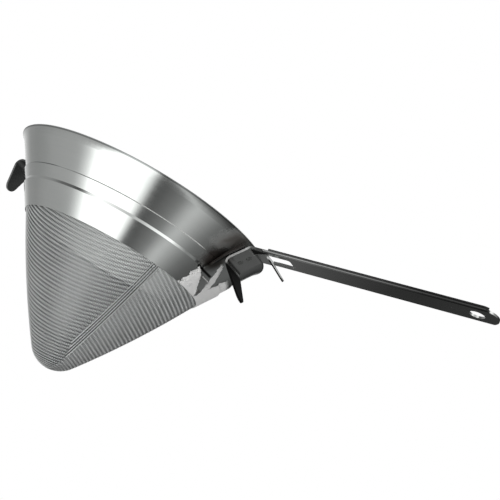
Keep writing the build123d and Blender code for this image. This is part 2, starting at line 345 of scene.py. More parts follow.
def cloth_tree():
    """Tree that weaves one family of wires of one panel over the profile that it is given."""
    group = new_group(
        "woven_panel",
        "GeometryNodeTree",
        (
            ("Profile", "NodeSocketGeometry", None),
            ("Pitch", "NodeSocketFloat", WEAVE_PITCH),
            ("Wire Radius", "NodeSocketFloat", WIRE_RADIUS),
            ("Wire Sides", "NodeSocketInt", WIRE_SIDES),
            ("Sheet Reach", "NodeSocketFloat", TIP_DEPTH),
            ("Cone Sine", "NodeSocketFloat", sin(radians(WALL_ANGLE))),
            ("Tip Gather", "NodeSocketFloat", TIP_GATHER),
            ("Gather Reach", "NodeSocketFloat", TIP_GATHER_REACH),
            ("Grain Turn", "NodeSocketFloat", 0.0),
            ("Middle Azimuth", "NodeSocketFloat", 0.0),
            ("Half Arc", "NodeSocketFloat", pi / 2),
            ("Family", "NodeSocketFloat", 0.0),
            ("Crimp", "NodeSocketFloat", 1.0),
            ("Material", "NodeSocketMaterial", None),
        ),
        (("Geometry", "NodeSocketGeometry"),),
    )
    tree = Tree(group)
    given = tree.node("NodeGroupInput").outputs
    pitch = given["Pitch"]
    # A square grid of crossings, wide enough for the unrolled panel whichever way it is turned
    steps = tree.math("CEIL", tree.math("DIVIDE", given["Sheet Reach"], pitch))
    count = tree.math("MULTIPLY_ADD", steps, 2.0, 1.0)
    size = tree.math("MULTIPLY", tree.math("MULTIPLY", steps, 2.0), pitch)
    values = {"Size X": size, "Size Y": size, "Vertices X": count, "Vertices Y": count}
    grid = tree.node("GeometryNodeMeshGrid", values=values).outputs["Mesh"]
    place = tree.node("GeometryNodeInputPosition").outputs["Position"]
    turned = tree.node(
        "ShaderNodeVectorRotate",
        {"rotation_type": "Z_AXIS"},
        {"Vector": place, "Angle": given["Grain Turn"]},
    ).outputs[0]
    flat = tree.split(turned)
    reach = tree.vector("LENGTH", turned).node.outputs["Value"]
    swing = tree.math("ARCTAN2", flat[1], flat[0])
    swing_limit = tree.math("MULTIPLY", given["Half Arc"], given["Cone Sine"])
    # Crossings more than a pitch outside the panel are cut away
    past_limit = tree.math("SUBTRACT", tree.math("ABSOLUTE", swing), swing_limit)
    past_seam = tree.times(reach, past_limit)
    past_margin = tree.math("SUBTRACT", reach, given["Sheet Reach"])
    outside = tree.math("GREATER_THAN", tree.math("MAXIMUM", past_seam, past_margin), pitch)
    values = {"Geometry": grid, "Selection": outside}
    cut = tree.node("GeometryNodeDeleteGeometry", {"domain": "POINT"}, values).outputs["Geometry"]
    # Only the edges of one family of wires stay
    ends = tree.node("GeometryNodeInputMeshEdgeVertices").outputs
    apart = tree.vector("SUBTRACT", ends["Position 1"], ends["Position 2"])
    run = tree.split(tree.vector("ABSOLUTE", apart))
    along_x = tree.math("GREATER_THAN", run[0], run[1])
    other = tree.math("COMPARE", along_x, given["Family"], 0.5)
    values = {"Geometry": cut, "Selection": other}
    wires = tree.node("GeometryNodeDeleteGeometry", {"domain": "EDGE", "mode": "EDGE_FACE"}, values)
    # Each wire floats over two others and dips under two, one crossing further along than its neighbour
    square = tree.split(place)
    column = tree.math("ROUND", tree.math("DIVIDE", square[0], pitch))
    row = tree.math("ROUND", tree.math("DIVIDE", square[1], pitch))
    step = tree.math("FLOORED_MODULO", tree.math("ADD", column, row), TWILL_REPEAT)
    warp_over = tree.math("LESS_THAN", step, TWILL_FLOAT - 0.5)
    over = tree.math("ABSOLUTE", tree.math("SUBTRACT", warp_over, given["Family"]))
    crimp = tree.times(given["Crimp"], given["Wire Radius"])
    lift = tree.times(tree.math("MULTIPLY_ADD", over, 2.0, -1.0), crimp)
    # The unrolled sheet is rolled onto the profile, gathered in a little towards the tip
    held = tree.math("MINIMUM", reach, given["Sheet Reach"])
    gathered = tree.math("MINIMUM", tree.math("DIVIDE", held, given["Gather Reach"]), 1.0)
    short = tree.rest_of(gathered)
    eased = tree.rest_of(tree.times(short, short))
    length = tree.math("SUBTRACT", held, tree.times(eased, given["Tip Gather"]))
    limited = tree.math("MAXIMUM", swing, tree.times(swing_limit, -1.0))
    limited = tree.math("MINIMUM", limited, swing_limit)
    azimuth = tree.math("ADD", given["Middle Azimuth"], tree.math("DIVIDE", limited, given["Cone Sine"]))
    curve = tree.node("GeometryNodeMeshToCurve", values={"Mesh": given["Profile"]}).outputs["Curve"]
    rolled = on_profile(tree, curve, length, azimuth, lift)
    values = {"Geometry": wires.outputs["Geometry"], "Position": rolled}
    woven = tree.node("GeometryNodeSetPosition", values=values).outputs["Geometry"]
    runs = tree.node("GeometryNodeMeshToCurve", values={"Mesh": woven}).outputs["Curve"]
    tubes = wire_tubes(tree, runs, given["Wire Radius"], given["Wire Sides"], given["Material"])
    tree.node("NodeGroupOutput", values={"Geometry": tubes})
    return group


def grow(name, base_mesh, group, settings):
    """Runs a Geometry Nodes tree on a mesh and keeps the result as a plain mesh object."""
    seed = add_object(name + "_seed", base_mesh)
    modifier = seed.modifiers.new(group.name, "NODES")
    modifier.node_group = group
    items = group.interface.items_tree
    sockets = {item.name: item.identifier for item in items if item.in_out == "INPUT"}
    for label, value in settings.items():
        modifier[sockets[label]] = value
    graph = bpy.context.evaluated_depsgraph_get()
    mesh = bpy.data.meshes.new_from_object(seed.evaluated_get(graph), depsgraph=graph)
    seed.modifiers.remove(modifier)
    bpy.data.objects.remove(seed)
    mesh.name = name
    return add_object(name, mesh)


def profile_mesh(points):
    """The cloth's profile as a run of edges in the upright plane through +X."""
    mesh = bpy.data.meshes.new("cloth_profile")
    places = [(radius, 0, height) for radius, height in points]
    mesh.from_pydata(places, [(i, i + 1) for i in range(len(places) - 1)], [])
    return mesh


def weave_cloth(warp_steel, weft_steel, rear_weft_steel):
    """Both panels of the cone, each as two families of wires."""
    points = cloth_profile()
    full_length = profile_length(points)
    foot, head = points[TIP_STEPS], points[-1]
    cone_sine = (head[0] - foot[0]) / profile_length(points[TIP_STEPS:])
    group = cloth_tree()
    panels = (
        ("front", SEAM_AZIMUTH - 90, FRONT_GRAIN, weft_steel),
        ("rear", SEAM_AZIMUTH + 90, REAR_GRAIN, rear_weft_steel),
    )
    for side, middle, grain, cross_steel in panels:
        families = (("warp", WARP_CRIMP, warp_steel), ("weft", WEFT_CRIMP, cross_steel))
        middle_swing = middle * cone_sine
        for family, (kind, crimp, steel) in enumerate(families):
            wires = grow(
                f"{side}_{kind}_wires",
                profile_mesh(points),
                group,
                {
                    "Pitch": WEAVE_PITCH,
                    "Wire Radius": WIRE_RADIUS,
                    "Wire Sides": WIRE_SIDES,
                    "Sheet Reach": full_length + TIP_GATHER,
                    "Cone Sine": cone_sine,
                    "Tip Gather": TIP_GATHER,
                    "Gather Reach": TIP_GATHER_REACH,
                    "Grain Turn": radians(grain - middle_swing),
                    "Middle Azimuth": radians(middle),
                    "Half Arc": pi / 2,
                    "Family": float(family),
                    "Crimp": crimp,
                    "Material": steel,
                },
            )
            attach(wires, "root")
            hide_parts(f"{side}_mesh_panel")


def seam_runs(numbers):
    """Lines down the cone beside each seam, as many wires off the seam as the numbers say."""
    profile = cloth_profile()
    places, edges = [], []
    for seam in (SEAM_AZIMUTH, SEAM_AZIMUTH + 180):
        for number in numbers:
            least_radius = SEAM_SHORTEST_RADIUS + number * SEAM_END_STEP
            run = [point for point in profile if point[0] > least_radius]
            for step, (radius, height) in enumerate(run):
                azimuth = radians(seam) - (number + 0.5) * SEAM_PITCH / radius
                out = radius + SEAM_WIRE_LIFT
                if step:
                    edges.append((len(places) - 1, len(places)))
                lowered = height - SEAM_WIRE_LIFT / 2
                places.append((out * cos(azimuth), out * sin(azimuth), lowered))
    mesh = bpy.data.meshes.new("seam_runs")
    mesh.from_pydata(places, edges, [])
    return mesh


def seam_wires(warp_steel, weft_steel):
    """The hem of straight wires on the near side of each seam, where warp and weft wires take turns."""
    group = new_group(
        "wire_run",
        "GeometryNodeTree",
        (
            ("Runs", "NodeSocketGeometry", None),
            ("Wire Radius", "NodeSocketFloat", WIRE_RADIUS),
            ("Wire Sides", "NodeSocketInt", WIRE_SIDES),
            ("Material", "NodeSocketMaterial", None),
        ),
        (("Geometry", "NodeSocketGeometry"),),
    )
    tree = Tree(group)
    given = tree.node("NodeGroupInput").outputs
    curves = tree.node("GeometryNodeMeshToCurve", values={"Mesh": given["Runs"]}).outputs["Curve"]
    tubes = wire_tubes(tree, curves, given["Wire Radius"], given["Wire Sides"], given["Material"])
    tree.node("NodeGroupOutput", values={"Geometry": tubes})
    families = (
        ("warp", 0, SEAM_WARP_RADIUS, warp_steel),
        ("weft", 1, SEAM_WEFT_RADIUS, weft_steel),
    )
    for kind, first, radius, steel in families:
        runs = seam_runs(range(first, SEAM_WIRES, 2))
        settings = {"Wire Radius": radius, "Wire Sides": WIRE_SIDES, "Material": steel}
        hem = grow(f"seam_{kind}_wires", runs, group, settings)
        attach(hem, "root")


# Tack welds


def tack_welds(steel):
    """Rows of small uneven beads where the saddle plate's side edges are tacked to the band."""
    places, edges = [], []
    for side in (-1, 1):
        azimuth = radians(side * (SADDLE_HALF_ARC + BESIDE_SADDLE))
        for station in (TACK_TOP, TACK_FOOT):
            radius, height = wall_point(station, SADDLE_FACE - TACK_SINK)
            places.append((radius * cos(azimuth), radius * sin(azimuth), height))
        edges.append((len(places) - 2, len(places) - 1))
    mesh = bpy.data.meshes.new("tack_runs")
    mesh.from_pydata(places, edges, [])
    group = new_group(
        "bead_row",
        "GeometryNodeTree",
        (
            ("Runs", "NodeSocketGeometry", None),
            ("Pitch", "NodeSocketFloat", TACK_PITCH),
            ("Bead Radius", "NodeSocketFloat", TACK_RADIUS),
            ("Seed", "NodeSocketInt", TACK_SEED),
            ("Material", "NodeSocketMaterial", None),
        ),
        (("Geometry", "NodeSocketGeometry"),),
    )
    tree = Tree(group)
    given = tree.node("NodeGroupInput").outputs
    curves = tree.node("GeometryNodeMeshToCurve", values={"Mesh": given["Runs"]}).outputs["Curve"]
    values = {"Curve": curves, "Length": given["Pitch"]}
    beads = tree.node("GeometryNodeCurveToPoints", {"mode": "LENGTH"}, values).outputs["Points"]
    values = {"Radius": given["Bead Radius"], "Subdivisions": 2}
    ball = tree.node("GeometryNodeMeshIcoSphere", values=values).outputs["Mesh"]
    size, turn = [
        tree.node(
            "FunctionNodeRandomValue",
            {"data_type": "FLOAT_VECTOR"},
            {0: least, 1: most, "Seed": given["Seed"]},
        ).outputs[0]
        for least, most in ((TACK_LEAST, TACK_MOST), ((0, 0, 0), TACK_TURN))
    ]
    values = {"Points": beads, "Instance": ball, "Rotation": turn, "Scale": size}
    rows = tree.node("GeometryNodeInstanceOnPoints", values=values).outputs["Instances"]
    real = tree.node("GeometryNodeRealizeInstances", values={"Geometry": rows}).outputs["Geometry"]
    smooth = tree.node("GeometryNodeSetShadeSmooth", values={"Geometry": real}).outputs["Geometry"]
    values = {"Geometry": smooth, "Material": given["Material"]}
    done = tree.node("GeometryNodeSetMaterial", values=values).outputs["Geometry"]
    tree.node("NodeGroupOutput", values={"Geometry": done})
    settings = {
        "Pitch": TACK_PITCH,
        "Bead Radius": TACK_RADIUS,
        "Seed": TACK_SEED,
        "Material": steel,
    }
    row = grow("saddle_tack_welds", mesh, group, settings)
    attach(row, "root")


# Steels


def noise(tree, vector, scale, detail=2.0):
    """A soft noise from 0 to 1."""
    values = {"Vector": vector, "Scale": scale, "Detail": detail}
    return tree.node("ShaderNodeTexNoise", values=values).outputs[0]


def from_axis(tree, part):
    """Distance of a point from the cone's axis."""
    square = tree.math("ADD", tree.times(part[0], part[0]), tree.times(part[1], part[1]))
    return tree.math("SQRT", square)


def on_wall(tree, vector):
    """Station in millimetres, azimuth in degrees and millimetres out of the wall."""
    part = tree.split(vector)
    inward = tree.math("SUBTRACT", NECK_RADIUS, from_axis(tree, part))
    down = tree.math("SUBTRACT", NECK_Z, part[2])
    angle = radians(WALL_ANGLE)
    station = tree.math("MULTIPLY_ADD", inward, sin(angle) / MM, tree.times(down, cos(angle) / MM))
    out = tree.math("MULTIPLY_ADD", inward, -cos(angle) / MM, tree.times(down, sin(angle) / MM))
    azimuth = tree.math("DIVIDE", tree.math("ARCTAN2", part[1], part[0]), radians(1.0))
    return station, azimuth, out


SMUDGED = (0.4, 0.75)
SCRATCH_WIDTH = (0.0, 0.02)
SCRATCHED = (0.5, 0.65)
SCRATCHED_SCALE = 120.0


def handling_group():
    """Smudges and short scratches that handling and washing leave on steel."""
    group = new_group(
        "handling_marks",
        "ShaderNodeTree",
        (
            ("Vector", "NodeSocketVector", None),
            ("Smudge Scale", "NodeSocketFloat", 40.0),
            ("Scratch Scale", "NodeSocketFloat", 600.0),
        ),
        (("Smudge", "NodeSocketFloat"), ("Scratch", "NodeSocketFloat")),
    )
    tree = Tree(group)
    given = tree.node("NodeGroupInput").outputs
    vector = given["Vector"]
    smudge = tree.rise(noise(tree, vector, given["Smudge Scale"], 4.0), SMUDGED)
    values = {"Vector": vector, "Scale": given["Scratch Scale"]}
    cells = tree.node("ShaderNodeTexVoronoi", {"feature": "DISTANCE_TO_EDGE"}, values).outputs[0]
    places = tree.rise(noise(tree, vector, SCRATCHED_SCALE), SCRATCHED)
    scratch = tree.times(tree.fall(cells, SCRATCH_WIDTH), places)
    tree.node("NodeGroupOutput", values={"Smudge": smudge, "Scratch": scratch})
    return group


COARSE_GRAIN = (0.4, 0.2, 0.2)


def grain_group():
    """Fine parallel lines of a rolled or drawn sheet, along the first axis of the vector given."""
    group = new_group(
        "drawn_grain",
        "ShaderNodeTree",
        (
            ("Vector", "NodeSocketVector", None),
            ("Run", "NodeSocketFloat", 12.0),
            ("Lines", "NodeSocketFloat", 1800.0),
        ),
        (("Grain", "NodeSocketFloat"),),
    )
    tree = Tree(group)
    given = tree.node("NodeGroupInput").outputs
    scale = tree.join(given["Run"], given["Lines"], given["Lines"])
    stretched = tree.vector("MULTIPLY", given["Vector"], scale)
    fine = noise(tree, stretched, 1.0, 3.0)
    coarse = noise(tree, tree.vector("MULTIPLY", stretched, COARSE_GRAIN), 1.0, 1.0)
    both = tree.math("MULTIPLY_ADD", coarse, 0.5, tree.times(fine, 0.5))
    tree.node("NodeGroupOutput", values={"Grain": both})
    return group


TINT_EDGE_SCALE = 160.0
TINT_UNEVEN = 0.6
TINT_NEAREST = 0.7
TINT_CORE = 0.35


def tint_group():
    """A mask that fades out round a centre, with an uneven edge: for heat tint round welds, and for
    painted shade and painted reflections.
    """
    group = new_group(
        "heat_tint",
        "ShaderNodeTree",
        (
            ("Vector", "NodeSocketVector", None),
            ("Centre", "NodeSocketVector", None),
            ("Reach", "NodeSocketFloat", 12.0 * MM),
        ),
        (("Mask", "NodeSocketFloat"),),
    )
    tree = Tree(group)
    given = tree.node("NodeGroupInput").outputs
    away = tree.vector("DISTANCE", given["Vector"], given["Centre"]).node.outputs["Value"]
    edge = noise(tree, given["Vector"], TINT_EDGE_SCALE, 3.0)
    away = tree.times(away, tree.layered(TINT_NEAREST, (edge, TINT_UNEVEN)))
    fade = (tree.times(given["Reach"], TINT_CORE), given["Reach"])
    tree.node("NodeGroupOutput", values={"Mask": tree.fall(away, fade, True)})
    return group


def painted_light_group():
    """Painted highlight on plate and band round the saddle, and painted shade along the groove beside
    the plate's upper edge.
    """
    group = new_group(
        "ground_patch",
        "ShaderNodeTree",
        (("Vector", "NodeSocketVector", None),),
        (("Ground", "NodeSocketFloat"), ("Groove", "NodeSocketFloat")),
    )
    tree = Tree(group)
    vector = tree.node("NodeGroupInput").outputs["Vector"]
    station, azimuth, out = on_wall(tree, vector)
    waver = tree.math("SUBTRACT", noise(tree, vector, 260.0), 0.5)
    azimuth = tree.layered(azimuth, (waver, WAVER))
    ragged = tree.math("SUBTRACT", noise(tree, vector, 520.0, 3.0), 0.5)

    def past(line_station, line_azimuth, slope):
        """One where the azimuth lies past a line that is drawn on the wall."""
        down = tree.math("SUBTRACT", station, line_station)
        limit = tree.math("MULTIPLY_ADD", down, slope, line_azimuth)
        beyond = tree.math("SUBTRACT", azimuth, limit)
        return tree.rise(beyond, (-LINE_SOFTNESS, LINE_SOFTNESS))

    def before(*line):
        """The other side of such a line."""
        return tree.rest_of(past(*line))

    def ring_line(line_station, azimuths, half_width):
        """One on a line that runs round the wall at one station, between two azimuths."""
        line = tree.fall(tree.off(station, line_station), (half_width * 0.4, half_width))
        middle = (azimuths[0] + azimuths[1]) / 2
        reach = (azimuths[1] - azimuths[0]) / 2
        ends = (reach - LINE_END, reach + LINE_END)
        return tree.times(line, tree.fall(tree.off(azimuth, middle), ends))

    torn_edge = tree.math("MULTIPLY_ADD", ragged, TORN_BY, CORNER_AZIMUTH)
    corner = tree.times(
        past(CORNER_STATION, torn_edge, 0.0),
        before(CORNER_STATION, CORNER_AZIMUTH + CORNER_STEP, CORNER_SLOPE),
    )
    arm = tree.times(
        past(ARM_STATION, ARM_AZIMUTH - ARM_HALF_WIDTH, ARM_LEFT_SLOPE),
        before(ARM_STATION, ARM_AZIMUTH + ARM_HALF_WIDTH, ARM_RIGHT_SLOPE),
        tree.rise(station, (ARM_STATION - ARM_TOP, ARM_STATION)),
    )
    foot = tree.times(past(FOOT_STATION, FOOT_AZIMUTH, FOOT_SLOPE), tree.rise(station, FOOT_START))
    edge = tree.times(ring_line(EDGE_STATION, EDGE_AZIMUTHS, EDGE_HALF_WIDTH), EDGE_STRENGTH)
    nearby = tree.fall(tree.math("ABSOLUTE", azimuth), PAINTED_LIGHT_END)
    outside = tree.rise(out, OUTER_FACE)
    # The painted highlight
    painted_light = tree.times(tree.most(corner, arm, foot, edge), nearby, outside)
    # Painted shade along the groove beside the plate's upper edge
    groove_shade = tree.times(ring_line(GROOVE_STATION, GROOVE_AZIMUTHS, GROOVE_HALF_WIDTH), outside)
    tree.node("NodeGroupOutput", values={"Ground": painted_light, "Groove": groove_shade})
    return group


# Colour and metalness of the painted highlights
PAINTED_HIGHLIGHT_COLOUR = (0.93, 0.93, 0.92, 1)
PAINTED_HIGHLIGHT_METALLIC = 0.15
# Colour of the painted shade and painted dark reflections
PAINTED_SHADE_COLOUR = (0.012, 0.012, 0.012, 1)
SCALE_SPECULAR = 0.08
# Colour of the painted dark reflection on the tongue
TONGUE_DARK_REFLECTION = (0.003, 0.003, 0.003, 1)


class Steel:
    """A steel under construction: its tree, its object coordinates and its shader."""

    def __init__(self, name, metallic=1.0):
        self.material = bpy.data.materials.new(name)
        self.material.use_nodes = True
        self.tree = Tree(self.material.node_tree)
        self.shader = self.material.node_tree.nodes["Principled BSDF"]
        self.shader.inputs["Metallic"].default_value = metallic
        self.place = self.tree.node("ShaderNodeTexCoord").outputs["Object"]

    def use(self, group, **inputs):
        """Places a node group at the object's coordinates and returns its outputs."""
        values = {"Vector": self.place}
        values.update({name.replace("_", " "): value for name, value in inputs.items()})
        return self.tree.node("ShaderNodeGroup", {"node_tree": group}, values).outputs

    def blend(self, share, first, second):
        """A colour between two."""
        inputs = {0: share, 6: first, 7: second}
        return self.tree.node("ShaderNodeMix", {"data_type": "RGBA"}, inputs).outputs[2]

    def finish(self, colour, roughness, height, depth):
        """Feeds the shader. The bump's depth is a length."""
        values = {"Strength": 1.0, "Distance": depth, "Height": height}
        bump = self.tree.node("ShaderNodeBump", values=values)
        self.tree.feed(self.shader.inputs["Base Color"], colour)
        self.tree.feed(self.shader.inputs["Roughness"], roughness)
        self.tree.feed(self.shader.inputs["Normal"], bump.outputs[0])
        return self.material


def round_the_axis(made):
    """Coordinates for a turned piece: length round the ring, height, radius."""
    part = made.tree.split(made.place)
    azimuth = made.tree.math("ARCTAN2", part[1], part[0])
    ring = made.tree.times(azimuth, RIM_RADIUS)
    return made.tree.join(ring, part[2], from_axis(made.tree, part)), part[2]


# Band steel: colours, where its marks lie, and how much each takes from the metal's mirror
BAND_CLEAN = ((0.60, 0.625, 0.61, 1), (0.66, 0.675, 0.66, 1))
BAND_SMUDGED = (0.50, 0.53, 0.515, 1)
BAND_EDGE_SHADE = (0.10, 0.11, 0.11, 1)
BAND_PAINTED_DARK = (0.055, 0.042, 0.036, 1)
DULL_REFLECTION_COLOUR = (0.13, 0.122, 0.114, 1)
LEDGE_SHADE = (0.06, 0.065, 0.065, 1)
RIM_EDGE_HEIGHTS = (-0.9 * MM, -0.5 * MM)
LEDGE_FADE = (0.2 * MM, 0.5 * MM)
DARK_LEDGE_END = (-104.0, -98.0)
LIT_LEDGE_START = (-62.0, -52.0)
LIT_LEDGE_END = (-20.0, -12.0)
DULL_REFLECTION_DULLS = 0.8
PAINTED_DARK_DULLS = 0.25
LIT_LEDGE_DULLS = 0.8
BAND_GRAIN_DEPTH = 0.004 * MM


def make_band_steel(marks, grain, tint, painted_light):
    """Rim and clamp bands: rolled and polished, with painted dark and dull reflections near the handle's
    welds, painted shade on the rim's edge and the clamp's upper edge, and painted highlights.
    """
    made = Steel("band_steel")
    tree = made.tree
    turned, height = round_the_axis(made)
    lines = made.use(grain, Vector=turned, Run=14.0, Lines=1600.0)["Grain"]
    worn = made.use(marks, Smudge_Scale=26.0, Scratch_Scale=260.0)
    # Painted dark reflection of the leg on the band, round the handle's welds
    heat_and_painted_dark = made.use(tint, Centre=BAND_DARK_REFLECTION_CENTRE, Reach=16.5 * MM)["Mask"]
    # Darker round the front hook
    hook_darkening = made.use(tint, Centre=HOOK_DARKENING_CENTRE, Reach=16.0 * MM)["Mask"]
    heat_and_painted_dark = tree.most(heat_and_painted_dark, tree.times(hook_darkening, 0.5))
    # Painted reflection: a dull brownish grey on the band beside the leg, where the mirror shows dark
    painted_dull_reflection = made.use(tint, Centre=DULL_REFLECTION_CENTRE, Reach=21.0 * MM)["Mask"]
    painted_dull_reflection = tree.times(painted_dull_reflection, tree.rest_of(heat_and_painted_dark))
    colour = made.blend(lines, *BAND_CLEAN)
    colour = made.blend(tree.times(worn["Smudge"], 0.5), colour, BAND_SMUDGED)
    # Painted shade along the rim's top edge
    edge = tree.times(tree.rise(height, RIM_EDGE_HEIGHTS), 0.65)
    colour = made.blend(edge, colour, BAND_EDGE_SHADE)
    # The clamp band's upper edge: painted shade on the left and a painted highlight on the right
    azimuth, out = on_wall(tree, made.place)[1:]
    ledge = tree.times(tree.fall(tree.off(height, CLAMP_TOP), LEDGE_FADE), 0.75)
    ledge = tree.times(ledge, tree.rise(out, OUTER_FACE))
    ledge_painted_shade = tree.times(ledge, tree.fall(azimuth, DARK_LEDGE_END))
    ledge_painted_highlight = tree.times(ledge, tree.rise(azimuth, LIT_LEDGE_START), tree.fall(azimuth, LIT_LEDGE_END))
    colour = made.blend(ledge_painted_shade, colour, LEDGE_SHADE)
    colour = made.blend(ledge_painted_highlight, colour, PAINTED_HIGHLIGHT_COLOUR)
    colour = made.blend(painted_dull_reflection, colour, DULL_REFLECTION_COLOUR)
    colour = made.blend(tree.times(heat_and_painted_dark, 0.95), colour, BAND_PAINTED_DARK)
    # Painted highlight round the saddle, and painted shade along the groove
    painted_patch = made.use(painted_light)
    bright = painted_patch["Ground"]
    colour = made.blend(painted_patch["Groove"], colour, PAINTED_SHADE_COLOUR)
    colour = made.blend(bright, colour, PAINTED_HIGHLIGHT_COLOUR)
    dull = tree.most(
        tree.times(bright, 1.0 - PAINTED_HIGHLIGHT_METALLIC),
        tree.times(painted_dull_reflection, DULL_REFLECTION_DULLS),
        tree.times(heat_and_painted_dark, PAINTED_DARK_DULLS),
        tree.times(ledge_painted_highlight, LIT_LEDGE_DULLS),
    )
    tree.feed(made.shader.inputs["Metallic"], tree.rest_of(dull))
    rough = tree.layered(0.10, (lines, 0.08), (bright, 0.3), (worn["Smudge"], 0.06), (heat_and_painted_dark, 0.15))
    raised = tree.layered(0.0, (lines, 0.6), (worn["Scratch"], -0.4))
    return made.finish(colour, rough, raised, BAND_GRAIN_DEPTH)


# Handle steel: colours, and spans along x, y and z where its marks begin or end
HANDLE_CLEAN = ((0.52, 0.53, 0.52, 1), (0.6, 0.61, 0.6, 1))
HANDLE_SMUDGED = (0.42, 0.43, 0.42, 1)
HANDLE_HEAT = (0.14, 0.11, 0.09, 1)
HOOK_DARKENED = 0.4
LEG_DARKENED = 0.14
HANDLE_SIDE_X = (0.0, 1.0 * MM)
LEG_END_X = (103 * MM, 105 * MM)
TONGUE_END_X = (118 * MM, 124 * MM)
TONGUE_Z = (-22.5 * MM, -20 * MM)
CUT_EDGE_Y = (-11.8 * MM, -11.5 * MM)
FLANGE_Y = (-10.2 * MM, -9.6 * MM)
NEAR_EDGE_SHADE_START_X = (106 * MM, 110 * MM)
NEAR_EDGE_SHADE_X = (112 * MM, 230 * MM)
NEAR_EDGE_SHADE_SHARES = (0.5, 0.96)
ROOT_SLANT = 0.49
ROOT_EDGE = (-2.0 * MM, -1.0 * MM)
ROOT_START = (-1.0 * MM, 0.0)
ROOT_END = (13.0 * MM, 14.5 * MM)
ROOT_Y = (-10.4 * MM, -9.8 * MM)
TAB_START_X = (110 * MM, 112 * MM)
TAB_FACE = (0.9 * MM, 1.1 * MM)
TAB_LOWER_HALF = (-2.2 * MM, -1.4 * MM)
HANDLE_GRAIN_DEPTH = 0.006 * MM


def make_handle_steel(marks, grain, tint):
    """Handle and hook: strip drawn lengthwise, with painted dark reflection on the tongue and hook,
    painted shade on the leg, root, tab and near edge, and a painted highlight on the leg's cut edge.
    """
    made = Steel("handle_steel")
    made.shader.inputs["Specular IOR Level"].default_value = SCALE_SPECULAR
    tree = made.tree
    x, y, z = tree.split(made.place)
    lines = made.use(grain, Run=10.0, Lines=1300.0)["Grain"]
    worn = made.use(marks, Smudge_Scale=34.0, Scratch_Scale=220.0)
    heat_and_painted_dark = made.use(tint, Centre=WELD_TINT_AND_SHADE_CENTRE, Reach=16.0 * MM)["Mask"]
    handle_side = tree.rise(x, HANDLE_SIDE_X)
    # Painted dark reflection on the tongue
    tongue = tree.times(tree.fall(z, TONGUE_Z, True), tree.fall(x, TONGUE_END_X), handle_side)
    colour = made.blend(lines, *HANDLE_CLEAN)
    colour = made.blend(tree.times(worn["Smudge"], 0.5), colour, HANDLE_SMUDGED)
    colour = made.blend(tree.times(heat_and_painted_dark, 0.6), colour, HANDLE_HEAT)
    # Painted highlight along the leg's near cut edge
    painted_edge_highlight = tree.times(tree.fall(y, CUT_EDGE_Y), tree.fall(x, LEG_END_X))
    colour = made.blend(tree.times(painted_edge_highlight, 0.5), colour, PAINTED_HIGHLIGHT_COLOUR)
    # Painted dark reflection on the hook, and painted shade on the leg
    darkened = tree.span(handle_side, 0.0, 1.0, HOOK_DARKENED, LEG_DARKENED)
    colour = made.blend(tree.times(darkened, tree.fall(x, LEG_END_X)), colour, PAINTED_SHADE_COLOUR)
    # The strap's near edge grows darker towards the hanging hole: painted shade
    darker = tree.span(x, *NEAR_EDGE_SHADE_X, *NEAR_EDGE_SHADE_SHARES)
    near_edge_shade = tree.times(tree.fall(y, FLANGE_Y), darker, tree.rise(x, NEAR_EDGE_SHADE_START_X))
    colour = made.blend(near_edge_shade, colour, PAINTED_SHADE_COLOUR)
    # Painted shade under the strap's root, and on the lower half of the stop tab's cut edge
    along = tree.math("SUBTRACT", x, STRAP_ROOT[0])
    slanted = tree.math("MULTIPLY_ADD", along, ROOT_SLANT, y)
    root = tree.times(tree.fall(slanted, ROOT_EDGE), tree.fall(along, ROOT_END))
    root = tree.times(root, tree.rise(along, ROOT_START), tree.rise(y, ROOT_Y))
    out = tree.times(tree.math("SUBTRACT", x, TAB_ROOT[0]), sin(radians(TAB_FALL)))
    up = tree.math("SUBTRACT", z, TAB_ROOT[1])
    through = tree.math("MULTIPLY_ADD", up, cos(radians(TAB_FALL)), out)
    tab = tree.times(tree.fall(through, TAB_FACE), tree.fall(up, TAB_LOWER_HALF))
    tab = tree.times(tab, tree.rise(x, TAB_START_X))
    # Painted shade and painted dark reflection, not metallic
    scale = tree.most(tongue, root, tab)
    colour = made.blend(scale, colour, PAINTED_SHADE_COLOUR)
    colour = made.blend(tongue, colour, TONGUE_DARK_REFLECTION)
    dull = tree.most(scale, tree.times(painted_edge_highlight, 0.8))
    tree.feed(made.shader.inputs["Metallic"], tree.rest_of(dull))
    rough = tree.layered(0.13, (lines, 0.1), (worn["Smudge"], 0.08), (scale, 0.4))
    raised = tree.layered(0.0, (lines, 0.6), (worn["Scratch"], -0.5))
    return made.finish(colour, rough, raised, HANDLE_GRAIN_DEPTH)


# Saddle steel: colours, and spans along y and z where its painted shade beside the leg and its painted
# dark near side begin or end
SADDLE_CLEAN = ((0.52, 0.54, 0.53, 1), (0.62, 0.64, 0.63, 1))
SADDLE_PAINTED_SHADE = (0.05, 0.04, 0.03, 1)
DARK_SIDE_PAINTED_SHADE = (0.030, 0.026, 0.024, 1)
SADDLE_UPPER_Z = (-27.0 * MM, -24.0 * MM)
BESIDE_LEG_FROM_Y = (-13.4 * MM, -12.6 * MM)
BESIDE_LEG_TO_Y = (-11.6 * MM, -11.2 * MM)
DARK_SIDE_Y = (-12.5 * MM, -11.5 * MM)
SADDLE_GRAIN_DEPTH = 0.02 * MM


